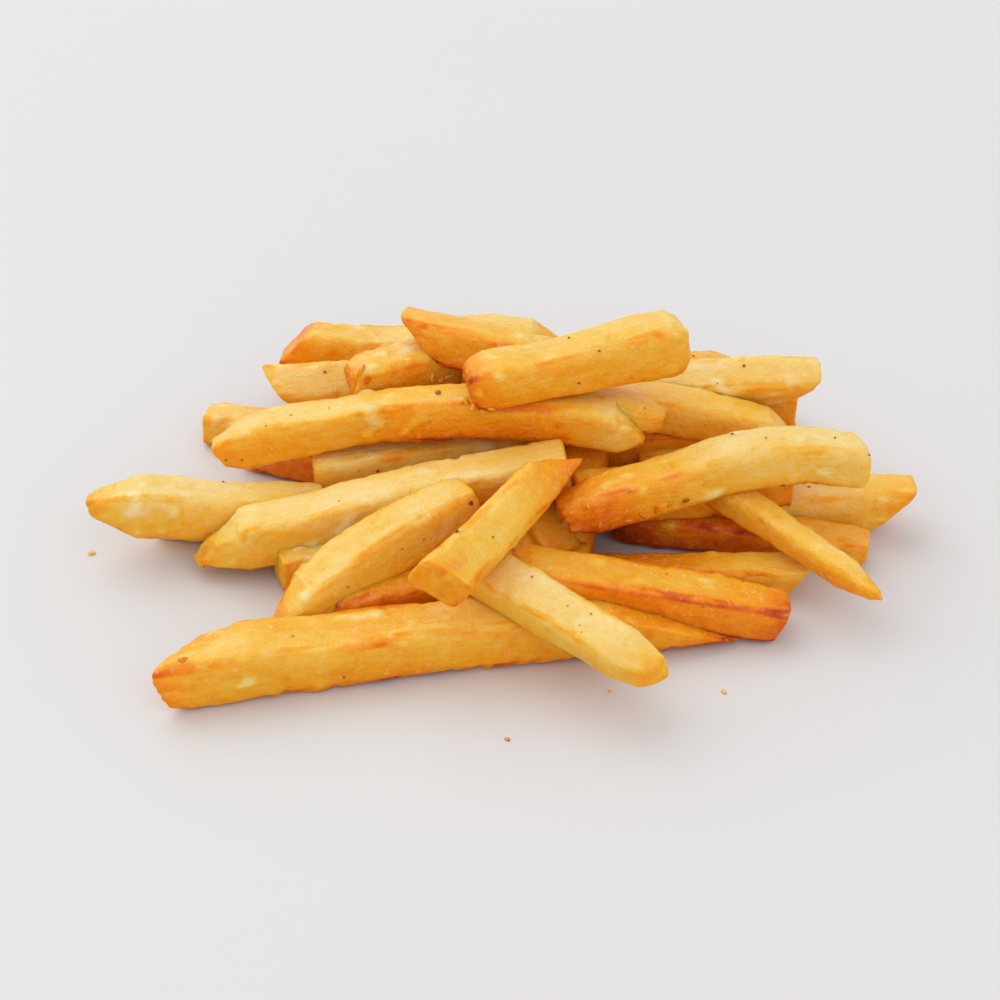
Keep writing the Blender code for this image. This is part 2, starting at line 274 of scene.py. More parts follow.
def pick_edges(obj, test):
    """Selects the edges of the object in edit mode that pass the test."""
    bpy.ops.mesh.select_mode(type="EDGE")
    bpy.ops.mesh.select_all(action="DESELECT")
    shape = bmesh.from_edit_mesh(obj.data)
    for edge in shape.edges:
        edge.select_set(test(edge))
    bmesh.update_edit_mesh(obj.data)


def pick_faces(obj, test):
    """Selects the faces of the object in edit mode that pass the test."""
    bpy.ops.mesh.select_mode(type="FACE")
    bpy.ops.mesh.select_all(action="DESELECT")
    shape = bmesh.from_edit_mesh(obj.data)
    for face in shape.faces:
        face.select_set(test(face))
    bmesh.update_edit_mesh(obj.data)


print("edges and faces are picked by their place or by where they look")

# %% Model the blank
SIDES = 56
CAP_RINGS = 6
CAP_STEP = 0.07


def runs_along(edge):
    return abs(edge.verts[0].co.x - edge.verts[1].co.x) > 0.1


def is_end(face):
    return abs(face.normal.x) > 0.9


def add_blank(name, rings):
    """A bar of length 1 and width 1 along X, cut into that many rings."""
    bpy.ops.mesh.primitive_cylinder_add(
        vertices=SIDES,
        radius=0.5,
        depth=1.0,
        end_fill_type="NGON",
        rotation=(0.0, math.pi / 2, 0.0),
    )
    blank = bpy.context.object
    blank.name = name
    bpy.ops.object.transform_apply(location=False, rotation=True, scale=False)
    bpy.ops.object.mode_set(mode="EDIT")
    pick_edges(blank, runs_along)
    bpy.ops.mesh.subdivide(number_cuts=1)
    pick_edges(blank, runs_along)
    bpy.ops.mesh.subdivide(number_cuts=rings // 2 - 1)
    pick_faces(blank, is_end)
    for step in range(CAP_RINGS):
        bpy.ops.mesh.inset(thickness=CAP_STEP)
    bpy.ops.mesh.poke()
    bpy.ops.object.mode_set(mode="OBJECT")
    bpy.ops.object.select_all(action="DESELECT")
    return blank


# Each blank by the length in mm of the longest fry that it is used for.
BLANKS = {
    30: add_blank("short_blank", 70),
    55: add_blank("middling_blank", 104),
    90: add_blank("long_blank", 160),
}
for blank in BLANKS.values():
    print(blank.name, "has", len(blank.data.polygons), "faces")

# %% [markdown]
# ## From a bar to a cut potato stick
# The bar is squared with a superellipse, which gives flat sides and softly
# broken edges. The power of it says how square the fry is, and it wanders a
# little along the fry, because a blade never leaves a perfect edge.

# %% Square the bar
USUAL_SQUARENESS = 5.6
# How much the power wanders, and over how many mm.
SQUARENESS_DRIFT = 0.13
DRIFT_LENGTHS = (5.0, 2.9)
# How much further out than a flat side an edge is, and how fast the rims on
# the cut ends fade towards their middle.
EDGE_REACH = 0.24
EDGE_FALL = 6
SQUARENESS = {
    "top_long": 4.2,
    "right_blistered": 3.8,
    "right_long": 4.4,
    "front_hanging": 4.8,
    "right_low": 4.4,
    "right_sliver": 4.0,
    "left_pointed": 4.6,
    "back_left": 4.4,
}


def squared(fry, across, above, place, seed):
    """How far a round section is pushed out to be squared, and how near
    each point is to one of the four long edges."""
    usual = SQUARENESS.get(fry.name, USUAL_SQUARENESS)
    drift = np.sin(place * fry.length / DRIFT_LENGTHS[0] + seed)
    drift += np.sin(place * fry.length / DRIFT_LENGTHS[1] + seed * 2.0 + 2.0 * above)
    power = usual * (1.0 + SQUARENESS_DRIFT * drift)
    angle = np.arctan2(above, across)
    total = np.abs(np.cos(angle)) ** power + np.abs(np.sin(angle)) ** power
    reach = total ** (-1.0 / power)
    edge = np.clip((reach - 1.0) / EDGE_REACH, 0.0, 1.0)
    from_middle = np.hypot(across, above) / 0.5
    return reach, edge * from_middle ** EDGE_FALL


print(len(SQUARENESS), "fries are rounder than the usual power of", USUAL_SQUARENESS)

# %% [markdown]
# ## Ends that are narrowed and rounded
# Each end narrows over its own length, and its rim is rounded like a quarter
# of a circle. The rings of the blank are drawn together there, so that the
# small rounding has enough of them, as with extra loop cuts.

# %% Narrow and round the ends
# How far the rims of the tail and of the head are rounded, in mm.
USUAL_RIMS = (0.5, 0.5)
RIMS = {
    "top_long": (1.7, 2.4),
    "front_hanging": (0.8, 1.6),
    "right_long": (0.7, 1.6),
    "right_blistered": (1.0, 2.2),
    "right_sliver": (0.6, 1.2),
    "right_low": (0.8, 1.0),
    "left_pointed": (1.0, 0.6),
}
# How far from the end the outermost rings are, and where the others begin.
END_STEPS = (0.0, 0.1, 0.28, 0.5)
OTHERS_BEGIN = 0.9
CUT_ROOM = 1.0
LEAST_SCALE = 0.12


def crowded(fry, places):
    """The places of the rings, drawn together where the ends are rounded."""
    rings = np.unique(np.round(places, 5))
    moved = np.linspace(-0.5, 0.5, len(rings))
    first = len(END_STEPS)
    inner = 0.5 - OTHERS_BEGIN / fry.length
    moved[first:-first] = np.linspace(-inner, inner, len(rings) - 2 * first)
    for ring, step in enumerate(END_STEPS):
        moved[ring] = -0.5 + step / fry.length
        moved[-1 - ring] = 0.5 - step / fry.length
    return np.interp(places, rings, moved)


def end_room(fry, nose, cut_side, cut_up):
    """How long an end is: its nose, or more where a steep cut needs it."""
    lean_side = abs(math.tan(math.radians(cut_side))) * fry.size[0] / 2
    lean_up = abs(math.tan(math.radians(cut_up))) * fry.size[1] / 2
    return max(nose, lean_side + lean_up + CUT_ROOM)


def ramp_to_ends(fry, place):
    """0 along the fry, growing to 1 at its tail and at its head."""
    tail_room = end_room(fry, fry.nose[0], fry.cuts[0], fry.cuts[1])
    head_room = end_room(fry, fry.nose[1], fry.cuts[2], fry.cuts[3])
    tail = 1.0 - (place + 0.5) * fry.length / tail_room
    head = 1.0 - (0.5 - place) * fry.length / head_room
    return np.clip(tail, 0.0, 1.0), np.clip(head, 0.0, 1.0)


def rim_depth(fry, rim, from_end):
    """How far the rim takes the surface in, in mm."""
    share = np.clip(from_end * fry.length / rim, 0.0, 1.0)
    return rim * (1.0 - np.sqrt(1.0 - (1.0 - share) ** 2))


def section_scale(fry, place):
    """How wide the fry is at each place, as a share of its full width."""
    tail, head = ramp_to_ends(fry, place)
    scale = 1.0 + fry.slim * place
    scale = scale * (1.0 - (1.0 - fry.taper[0]) * tail)
    scale = scale * (1.0 - (1.0 - fry.taper[1]) * head)
    rims = RIMS.get(fry.name, USUAL_RIMS)
    taken = rim_depth(fry, rims[0], place + 0.5)
    taken = taken + rim_depth(fry, rims[1], 0.5 - place)
    half_width = sum(fry.size) / 4.0
    return np.maximum(scale - taken / half_width, LEAST_SCALE)


print("a rim is usually rounded by", USUAL_RIMS[0], "mm")

# %% [markdown]
# ## Slanted ends and a bend
# A potato is rounder than a stick, so the outer sticks end in a slant, and a
# fry bends a little as it dries. Both are made by moving the points, which is
# what a lattice would do by hand.

# %% Slant and bow the stick


def slanted(fry, place, sideways, upwards):
    """How far each point moves along the fry for its slanted ends."""
    tail, head = ramp_to_ends(fry, place)
    slopes = [math.tan(math.radians(cut)) for cut in fry.cuts]
    at_tail = sideways * slopes[0] + upwards * slopes[1]
    at_head = sideways * slopes[2] + upwards * slopes[3]
    return at_tail * tail + at_head * head


def stick_points(fry, points, seed):
    """The points of a blank, shaped into this fry but still lying along X."""
    place = crowded(fry, points[:, 0])
    reach, edge = squared(fry, points[:, 1], points[:, 2], place, seed)
    scale = section_scale(fry, place)
    sideways = points[:, 1] * reach * scale * fry.size[0]
    upwards = points[:, 2] * reach * scale * fry.size[1]
    forwards = place * fry.length + slanted(fry, place, sideways, upwards)
    # The bend runs from -0.5 at both ends to 0.5 in the middle.
    bend = 0.5 - 4.0 * place * place
    wave = fry.wave * np.sin(2.0 * math.pi * place)
    bowed_side = sideways + fry.bow[0] * bend
    bowed_up = upwards + fry.bow[1] * bend + wave
    return np.stack([forwards, bowed_side, bowed_up], axis=1), place, edge


most_bowed = max(SHOWN, key=lambda fry: max(fry.bow))
print("the most bowed fry is", most_bowed.name)

# %% [markdown]
# ## What frying does to the surface
# Water boils out of the potato, so the sides are dented and lumpy, small
# blisters puff up, the sharp edges crumble here and there, and a torn end
# frays. Each of these is a noise of its own size that pushes the points in or
# out. The dents and blisters are real geometry, so the outline shows them.

# %% Dent, blister and fray the stick
# How large the lumps of each kind are and how far they move the surface, in
# mm, and how much they are drawn out along the fry. A gain and a shift say
# how much of their noise is left, from 0 to 1.
Lumps = namedtuple("Lumps", "size height drawn gain shift", defaults=[1.0, 1.0, 0.0])
SAG = Lumps(10.0, 0.55, 0.6)
WAVY = Lumps(3.4, 0.15)
GRAINY = Lumps(1.3, 0.075)
BLISTER = Lumps(2.4, 0.8, 0.7, shift=-0.18)
PIT = Lumps(1.7, 0.6, shift=-0.42)
CHIP = Lumps(1.9, 0.9, shift=0.1)
FRAY = Lumps(1.5, 0.7, 0.5)
# Blisters and crumbled edges come in areas.
BLISTERED_AREA = Lumps(11.0, 1.0, gain=2.4, shift=0.1)
CRUMBLY_AREA = Lumps(8.0, 1.0, gain=2.0, shift=0.3)
# How much paler a blister and how much browner a pit is.
PUFFED = 2.2
PITTED = 1.2
# How far a torn tail and a torn head fray along the fry, in mm.
FRAY_REACH = (7.0, 5.0)


def noise_at(points, size, seed):
    """Smooth noise from about -1 to 1 with lumps of this size."""
    steps = points / size + np.array([seed, seed * 1.7, seed * 2.3])
    return np.array([noise.noise(Vector(step)) for step in steps])


def noise_of(lumps, points, seed):
    """The noise that has these lumps, from about -1 to 1."""
    return noise_at(points * (lumps.drawn, 1.0, 1.0), lumps.size, seed)


def share_of(lumps, points, seed):
    """What is left of the noise of these lumps, from 0 to 1."""
    return np.clip(noise_of(lumps, points, seed) * lumps.gain + lumps.shift, 0.0, 1.0)


def torn_share(fry, place):
    """1 at a torn end, falling to 0 within a few millimetres."""
    tail, head = RAGGED.get(fry.name, USUAL_RAGGED)
    from_tail = (place + 0.5) * fry.length
    from_head = (0.5 - place) * fry.length
    near_tail = tail * np.clip(1.0 - from_tail / FRAY_REACH[0], 0.0, 1.0)
    near_head = head * np.clip(1.0 - from_head / FRAY_REACH[1], 0.0, 1.0)
    return near_tail + near_head


def surface_relief(fry, points, place, edge, seed):
    """How far each point moves outwards, in mm, and how puffed it is."""
    blisters = share_of(BLISTER, points, seed + 37.0)
    blisters = blisters * share_of(BLISTERED_AREA, points, seed + 41.0)
    blisters = blisters * BLISTERED.get(fry.name, 1.0)
    pits = share_of(PIT, points, seed + 53.0)
    crumbly = share_of(CRUMBLY_AREA, points, seed + 61.0)
    chips = share_of(CHIP, points, seed + 67.0) * edge ** 2
    fray = torn_share(fry, place) * noise_of(FRAY, points, seed + 79.0)
    relief = SAG.height * noise_of(SAG, points, seed)
    relief += WAVY.height * noise_of(WAVY, points, seed + 11.0)
    relief += GRAINY.height * noise_of(GRAINY, points, seed + 23.0)
    relief += BLISTER.height * blisters - PIT.height * pits
    relief += FRAY.height * fray - CHIP.height * chips * crumbly
    return relief, blisters * PUFFED - pits * PITTED


print("the sides are dented by up to", SAG.height, "mm")

# %% [markdown]
# ## Dips that the outline shows
# The large dents of some fries can be seen in their outline, so they aren't
# left to the noise. Each is a soft hollow across the top of its fry, as a
# thumb would press it.

# %% Press the dips
# Where along the fry they are, how deep (or, below 0, how high) and how wide.
DIPS = {
    "top_long": ((-6.0, 1.0, 5.0), (9.0, -0.5, 6.0)),
    "front_long": ((-32.0, -0.7, 4.0), (-20.0, 0.5, 6.0)),
    "middle_long": ((-24.0, -0.6, 3.0), (-12.0, 0.6, 5.0)),
    "upper_long": ((-18.0, 0.5, 5.0), (12.0, 0.5, 5.0)),
    "right_long": ((-9.0, 0.9, 6.0), (7.0, -0.4, 6.0)),
    "right_high": ((4.0, 0.6, 5.0),),
    "left_pointed": ((3.0, 0.5, 8.0),),
    "right_low": ((6.0, 0.5, 4.0),),
    "back_left_high": ((-6.0, 0.5, 5.0),),
    "front_hanging": ((4.0, 0.4, 5.0),),
}


def dipped(fry, points, upward):
    """How deep the dips on top of the fry are at each point, in mm."""
    depth = np.zeros(len(points))
    for middle, deep, wide in DIPS.get(fry.name, ()):
        depth += deep * np.exp(-((points[:, 0] - middle) / wide) ** 2)
    return depth * np.clip(upward, 0.0, 1.0)


print(len(DIPS), "fries have dips")

# %% [markdown]
# ## Laying a fry in the heap
# The fry is turned to its heading, pitch and roll and moved to its middle.
# What would reach under the table is flattened against it, as a soft fry
# settles. The heap is moved so that its box has its middle over the origin,
# and its foot at height 0, as in the solid.

# %% Turn and place a fry
# In the list's own millimetres: the middle of the heap's box and the table.
HEAP_MIDDLE = (1.441, 14.8)
TABLE = -0.2
# How far the flattened places stay above the table.
SETTLED = 0.03


def axes_of(fry):
    """The directions along, beside and above a fry."""
    heading = math.radians(fry.heading)
    pitch = math.radians(fry.pitch)
    roll = math.radians(fry.roll)
    level = math.cos(pitch)
    along = Vector((math.cos(heading) * level, math.sin(heading) * level, math.sin(pitch)))
    side = Vector((-math.sin(heading), math.cos(heading), 0.0))
    above = along.cross(side)
    turned_side = side * math.cos(roll) + above * math.sin(roll)
    turned_above = above * math.cos(roll) - side * math.sin(roll)
    return np.array([along, turned_side, turned_above])


def in_heap(fry, points):
    """Points of a stick along X, moved to where the fry lies, in metres."""
    spots = points @ axes_of(fry) + np.array(fry.middle)
    spots[:, 2] = np.maximum(spots[:, 2], TABLE + SETTLED)
    return (spots - np.array([*HEAP_MIDDLE, TABLE])) * MM


print("the first fry points along", np.round(axes_of(SHOWN[0])[0], 2))

# %% [markdown]
# ## What the shader has to know
# A few numbers are kept on the points of each fry: how near an edge and an
# end they are, how puffed, how brown, with painted shade and light in that,
# how far they look up, and where they were on the straight stick. They are attributes, like
# painted vertex colours,
# so the shader needs no picture.

# %% Keep numbers on the points
# Painted light and shade: how much paler a fry is where it looks up, and
# where it lies high on its own section, as the light falls from above.
PAINTED_LIGHT_UPWARDS = 0.08
PAINTED_LIGHT_HIGH = 0.08
# How much the tone wanders along a fry, and over how many mm.
TONE_DRIFT = Lumps(15.0, 0.08)
# Within how many mm of an end the browner tip fades.
TIP_REACH = 1.6


def stained_and_shaded(fry, points):
    """How much browner each point is for the browner places of its fry, some of them painted
    shade.
    """
    extra = np.zeros(len(points))
    for middle, browner, wide in STAINS_AND_SHADE.get(fry.name, ()):
        extra += browner * np.exp(-((points[:, 0] - middle) / wide) ** 2)
    return extra


def height_share(fry, points):
    """How high each point lies on its own fry: -1 at its foot, 1 on top."""
    sideways = points * (0.0, 1.0, 1.0)
    return (sideways @ axes_of(fry))[:, 2] / (sum(fry.size) / 4.0)


def tone_and_shade_of(fry, points, place, normals, seed):
    """How brown each point is, with painted shade and light: browner where the fry lies deep or
    in shadow, paler where it looks up and on its upper half.
    """
    tone = TONES_AND_SHADE.get(fry.name, USUAL_TONE_WITH_SHADE) + FADES_AND_SHADE.get(fry.name, 0.0) * place
    tone = tone + TONE_DRIFT.height * noise_of(TONE_DRIFT, points, seed + 91.0)
    tone = tone + stained_and_shaded(fry, points)
    return tone - PAINTED_LIGHT_UPWARDS * normals[:, 2] - PAINTED_LIGHT_HIGH * height_share(fry, points)


def read_points(mesh):
    flat = np.empty(len(mesh.vertices) * 3)
    mesh.vertices.foreach_get("co", flat)
    return flat.reshape(-1, 3)


def write_points(mesh, points):
    mesh.vertices.foreach_set("co", points.ravel())
    mesh.update()


def read_normals(mesh):
    flat = np.empty(len(mesh.vertices) * 3)
    mesh.vertex_normals.foreach_get("vector", flat)
    return flat.reshape(-1, 3)


def keep_crust(mesh, edge, tip, puff, tone):
    """Stores how near an edge and a tip, how puffed and how brown it is, with the painted shade
    and light of its tone.
    """
    values = np.stack([edge, tip, puff * 0.5 + 0.5, tone], axis=1)
    crust = mesh.color_attributes.new("crust", "FLOAT_COLOR", "POINT")
    crust.data.foreach_set("color", np.clip(values, 0.0, 1.0).ravel())


def keep_up(mesh):
    """Stores how far each point looks upwards, from 0 to 1."""
    up = mesh.attributes.new("up", "FLOAT", "POINT")
    up.data.foreach_set("value", read_normals(mesh)[:, 2] * 0.5 + 0.5)


def keep_stick(mesh, points):
    """Stores where each point was on the straight stick, for the streaks."""
    stick = mesh.attributes.new("stick", "FLOAT_VECTOR", "POINT")
    stick.data.foreach_set("vector", points.ravel())


print("a tip is browner within", TIP_REACH, "mm")

# %% [markdown]
# ## All the fries
# Now every fry of the two lists is made from its blank. Each has a seed of
# its own, so that its dents are its own and the same whenever this runs.

# %% Make the fries
SEED_STEP = 3.1
FIRST_SEED = 5.0


def add_fry(fry, number):
    """A copy of the blank that suits the fry, shaped and laid in the heap."""
    longest = min(size for size in BLANKS if size >= fry.length)
    mesh = BLANKS[longest].data.copy()
    mesh.name = "fry_" + fry.name
    piece = bpy.data.objects.new("fry_" + fry.name, mesh)
    bpy.context.scene.collection.objects.link(piece)
    seed = FIRST_SEED + SEED_STEP * number
    points, place, edge = stick_points(fry, read_points(mesh), seed)
    write_points(mesh, points)
    relief, puff = surface_relief(fry, points, place, edge, seed)
    relief = relief - dipped(fry, points, read_normals(mesh)[:, 2])
    points = points + read_normals(mesh) * relief[:, None]
    write_points(mesh, in_heap(fry, points))
    tip = np.exp(-(0.5 - np.abs(place)) * fry.length / TIP_REACH)
    tone = tone_and_shade_of(fry, points, place, read_normals(mesh), seed)
    keep_crust(mesh, edge, tip, puff, tone)
    keep_up(mesh)
    keep_stick(mesh, points * MM + seed)
    mesh.shade_smooth()
    return piece


fries = {}
for number, fry in enumerate(SHOWN + BEHIND):
    fries[fry.name] = add_fry(fry, number)
for blank in BLANKS.values():
    bpy.data.objects.remove(blank)
faces = sum(len(piece.data.polygons) for piece in fries.values())
print(len(fries), "fries with", faces, "faces")

# %% [markdown]
# ## The core
# In the solid a low mound joins the fries from inside. Here it is the dark
# middle of the heap, seen only through gaps, so it is a lumpy crust painted
# a deep orange: painted shade, like that of the fries around it.

# %% Model the core
CORE_MIDDLE = (4.0, 32.0)
CORE_SIZE = (31.0, 14.2, 16.5)
CORE_TOP_SHARE = 0.42
CORE_SIDES = 48
CORE_CUTS = 14
TOP_RINGS = 5
TOP_STEP = 0.08
CORE_LUMPS = Lumps(6.0, 0.8)
CORE_GRAIN = Lumps(2.0, 0.3)
CORE_SUNK = 0.5
CORE_FOOT = 2.0
# The core's deep orange is painted shade of the gaps it is seen through.
CORE_SHADE_TONE = 0.82


def leans_up(edge):
    return abs(edge.verts[0].co.z - edge.verts[1].co.z) > 0.5


def lies_flat(face):
    return abs(face.normal.z) > 0.9


def add_mound():
    """A blunt cone of height and radius 1, cut into rings all over."""
    bpy.ops.mesh.primitive_cone_add(
        vertices=CORE_SIDES,
        radius1=1.0,
        radius2=CORE_TOP_SHARE,
        depth=1.0,
        location=(0.0, 0.0, 0.5),
    )
    mound = bpy.context.object
    bpy.ops.object.transform_apply(location=True, rotation=False, scale=False)
    bpy.ops.object.mode_set(mode="EDIT")
    pick_edges(mound, leans_up)
    bpy.ops.mesh.subdivide(number_cuts=CORE_CUTS)
    pick_faces(mound, lies_flat)
    for step in range(TOP_RINGS):
        bpy.ops.mesh.inset(thickness=TOP_STEP)
    bpy.ops.mesh.poke()
    bpy.ops.object.mode_set(mode="OBJECT")
    bpy.ops.object.select_all(action="DESELECT")
    return mound


def add_core():
    """The mound under the middle of the heap, with a lumpy top."""
    core = add_mound()
    core.name = "core"
    mesh = core.data
    points = read_points(mesh) * CORE_SIZE
    write_points(mesh, points)
    bulge = CORE_LUMPS.height * noise_of(CORE_LUMPS, points, 3.0)
    bulge += CORE_GRAIN.height * noise_of(CORE_GRAIN, points, 9.0) - CORE_SUNK
    bulge = bulge * np.clip(points[:, 2] / CORE_FOOT, 0.0, 1.0)
    points = points + read_normals(mesh) * bulge[:, None]
    middle = (CORE_MIDDLE[0] - HEAP_MIDDLE[0], CORE_MIDDLE[1] - HEAP_MIDDLE[1], 0.0)
    write_points(mesh, (points + middle) * MM)
    nothing = np.zeros(len(points))
    keep_crust(mesh, nothing, nothing, nothing, nothing + CORE_SHADE_TONE)
    keep_up(mesh)
    keep_stick(mesh, read_points(mesh))
    mesh.shade_smooth()
    return core


core = add_core()
print("the core has", len(core.data.polygons), "faces")

# %% [markdown]
# ## Shader maths as sums
# A material is a net of nodes. Wrapping a socket in a small class lets the
# net be written as sums on numbers, which is easier to read and to change.

# %% Wrap sockets for shader maths


class Wire:
    """A value in a shader, which can be added, multiplied or compared."""

    def __init__(self, maker, socket):
        self.maker = maker
        self.socket = socket

    def maths(self, operation, first, second):
        return self.maker.node("ShaderNodeMath", {"operation": operation}, {0: first, 1: second})

    def __add__(self, other):
        return self.maths("ADD", self, other)

    def __radd__(self, other):
        return self.maths("ADD", other, self)

    def __sub__(self, other):
        return self.maths("SUBTRACT", self, other)

    def __rsub__(self, other):
        return self.maths("SUBTRACT", other, self)

    def __mul__(self, other):
        return self.maths("MULTIPLY", self, other)

    def __rmul__(self, other):
        return self.maths("MULTIPLY", other, self)

    def __gt__(self, other):
        return self.maths("GREATER_THAN", self, other)

    def between(self, low, high):
        """0 below low, 1 above high and a smooth rise between them."""
        settings = {"interpolation_type": "SMOOTHSTEP"}
        values = {"Value": self, "From Min": low, "From Max": high}
        return self.maker.node("ShaderNodeMapRange", settings, values)


print("a wire is a socket that can be reckoned with")

# %% [markdown]
# ## Nodes in few words
# Each material needs noise, mixes and ramps again and again. A maker holds
# one material and has one short method for each of them, and one that adds
# any other node with its settings and its sockets' values.

# %% Add nodes to a material


class Maker:
    """Adds nodes to one material."""

    def __init__(self, material):
        self.tree = material.node_tree
        self.shader = self.tree.nodes["Principled BSDF"]

    def node(self, kind, settings, values, output=0):
        """A node of this kind with its settings, then its sockets' values."""
        made = self.tree.nodes.new(kind)
        for name, setting in settings.items():
            setattr(made, name, setting)
        self.fill(made, values)
        return Wire(self, made.outputs[output])

    def fill(self, made, values):
        for key, value in values.items():
            if isinstance(value, Wire):
                self.tree.links.new(value.socket, made.inputs[key])
            else:
                made.inputs[key].default_value = value

    def noise(self, where, size, detail=2.0, roughness=0.5, output=0):
        """Noise with lumps of this size in metres."""
        values = {"Vector": where, "Scale": 1.0 / size, "Detail": detail, "Roughness": roughness}
        return self.node("ShaderNodeTexNoise", {}, values, output)

    def mix(self, share, first, second):
        """The first colour, turning into the second as share rises to 1."""
        settings = {"data_type": "RGBA", "blend_type": "MIX", "clamp_factor": True}
        return self.node("ShaderNodeMix", settings, {0: share, 6: first, 7: second}, 2)

    def vectors(self, operation, *terms):
        """Vector maths on two or three terms."""
        values = dict(enumerate(terms))
        return self.node("ShaderNodeVectorMath", {"operation": operation}, values)

    def bump(self, strength, distance, height):
        """The normal of a surface with this relief, whose depth is in metres."""
        values = {"Strength": strength, "Distance": distance, "Height": height}
        return self.node("ShaderNodeBump", {}, values)

    def attribute(self, name, output):
        """What is stored on the points: 0 a colour, 1 a vector, 2 a number,
        3 a colour's alpha."""
        return self.node("ShaderNodeAttribute", {"attribute_name": name}, {}, output)

    def place(self):
        """Where on the object a point is, in metres."""
        return self.node("ShaderNodeTexCoord", {}, {}, 3)

    def ramp(self, share, stops):
        """A colour ramp through the stops, which are places and colours."""
        made = self.tree.nodes.new("ShaderNodeValToRGB")
        elements = made.color_ramp.elements
        while len(elements) < len(stops):
            elements.new(0.5)
        for element, (place, colour) in zip(elements, stops):
            element.position = place
            element.color = colour
        self.fill(made, {"Fac": share})
        return Wire(self, made.outputs["Color"])


def new_material(name):
    material = bpy.data.materials.new(name)
    material.use_nodes = True
    return material, Maker(material)


print("a maker adds nodes to the material it is given")

# %% [markdown]
# ## Fried potato
# Under the fat's sheen a fry is pale where the flesh is thick and moist and
# browns where it is dry: along its edges, at its ends, in its pits and in
# drifting patches. One browning value gathers all of that, with the painted
# shade and light that each point's tone carries, and picks the colour from a
# ramp, because on a real fry too the browning is one and the same process.
# Some of the noise is drawn out along the fry, like its fibres.

# %% Brown the crust
CRUST_STOPS = [
    (0.00, (0.97, 0.76, 0.42, 1.0)),
    (0.20, (0.98, 0.67, 0.22, 1.0)),
    (0.40, (0.97, 0.54, 0.055, 1.0)),
    (0.58, (0.95, 0.39, 0.008, 1.0)),
    (0.76, (0.86, 0.24, 0.003, 1.0)),
    (0.90, (0.70, 0.12, 0.003, 1.0)),
    (1.00, (0.46, 0.055, 0.003, 1.0)),
]
Skin = namedtuple("Skin", "where drawn up tone edge tip puff patches mottle streaks grain")
# How much the noise is drawn out along the fry.
FIBRES = (0.32, 1.0, 1.0)
# How much browner each of these makes the skin.
BY_PATCHES = 0.46
BY_MOTTLE = 0.32
BY_STREAKS = 0.14
BY_RIM = 0.26
BY_TIP = 0.14
BY_PUFF = -0.50


def skin_of(make):
    """What is stored on the points, and the noises that the skin is made of."""
    where = make.place()
    drawn = make.vectors("MULTIPLY", make.attribute("stick", 1), FIBRES)
    split = make.tree.nodes.new("ShaderNodeSeparateColor")
    make.fill(split, {"Color": make.attribute("crust", 0)})
    edge, tip, puff = [Wire(make, split.outputs[number]) for number in range(3)]
    return Skin(
        where=where,
        drawn=drawn,
        up=make.attribute("up", 2),
        tone=make.attribute("crust", 3),
        edge=edge,
        tip=tip,
        puff=puff,
        patches=make.noise(drawn, 0.0065, 3.0, 0.55),
        mottle=make.noise(where, 0.0024, 4.0, 0.62),
        streaks=make.noise(drawn, 0.0012, 3.0, 0.6),
        grain=make.noise(where, 0.0006, 3.0, 0.6),
    )


def browned_and_shaded(make, skin):
    """The colour of the crust, from how brown each place is, with the painted shade and light of
    its tone.
    """
    broken = make.noise(skin.drawn, 0.004, 2.0, 0.6).between(0.42, 0.62)
    rim = skin.edge.between(0.62, 0.95) * broken
    browning = skin.tone + BY_PATCHES * (skin.patches - 0.5)
    browning = browning + BY_MOTTLE * (skin.mottle - 0.5)
    browning = browning + BY_STREAKS * (skin.streaks - 0.5)
    browning = browning + BY_RIM * rim + BY_TIP * skin.tip
    browning = browning + BY_PUFF * (skin.puff - 0.5)
    return make.ramp(browning, CRUST_STOPS)


print("the crust has", len(CRUST_STOPS), "colours from pale to brown")

# %% [markdown]
# ## Floury places, painted highlights and specks
# The skin has paler, floury places, more of them where a fry looks up, which
# is painted highlight there, and here and there a small brown speck of burnt
# skin. The specks lie in the cells of a Voronoi pattern, one in some of them,
# with an outline that noise has shaken.

# %% Make the floury places, the painted highlights and the specks
# Pale floury colour, also used as painted highlight on the tops.
FLOURY_AND_HIGHLIGHT = (0.98, 0.80, 0.46, 1.0)
SPECK = (0.22, 0.08, 0.012, 1.0)
SPECK_SHARE = 0.75
SPECKS_TO_A_METRE = 300.0
SHAKEN = (0.0006, 0.0006, 0.0006)


def floured_and_highlighted(make, skin, base):
    """The colour with paler floury places, more where the fry looks up: painted highlight on the
    tops.
    """
    places = make.noise(skin.where, 0.0013, 4.0, 0.7).between(0.55, 0.74)
    return make.mix(places * (0.15 + 0.35 * skin.up), base, FLOURY_AND_HIGHLIGHT)


def specked(make, skin, base):
    """The colour with specks in nearly half of the cells."""
    wobble = make.noise(skin.where, 0.0007, 1.0, 0.5, 1)
    cell = {
        "Vector": make.vectors("MULTIPLY_ADD", wobble, SHAKEN, skin.where),
        "Scale": SPECKS_TO_A_METRE,
    }
    from_middle = make.node("ShaderNodeTexVoronoi", {}, cell)
    cell_colour = make.node("ShaderNodeTexVoronoi", {}, cell, 1)
    chosen = make.node("ShaderNodeSeparateColor", {}, {"Color": cell_colour}, 0) > 0.55
    specks = chosen * (1.0 - from_middle.between(0.02, 0.07))
    return make.mix(specks * SPECK_SHARE, base, SPECK)


print("a metre would hold", int(SPECKS_TO_A_METRE), "cells in a row")

# %% [markdown]
# ## Oil, relief and depth
# A film of oil lies in streaks on what looks up. The finest relief is only a
# bump. Light sinks into the moist flesh and comes out warmer, so a fry glows
# a little at its sides. In a small dry scrap it does not.

# %% Make the fried potato
BUMP_STRENGTH = 0.9
BUMP_DEPTH = 0.0008
MOIST = 0.9
# How far red, green and blue light go, as shares of the depth.
LIGHT_REACH = (1.0, 0.50, 0.18)
FRY_DEPTH = 0.0024


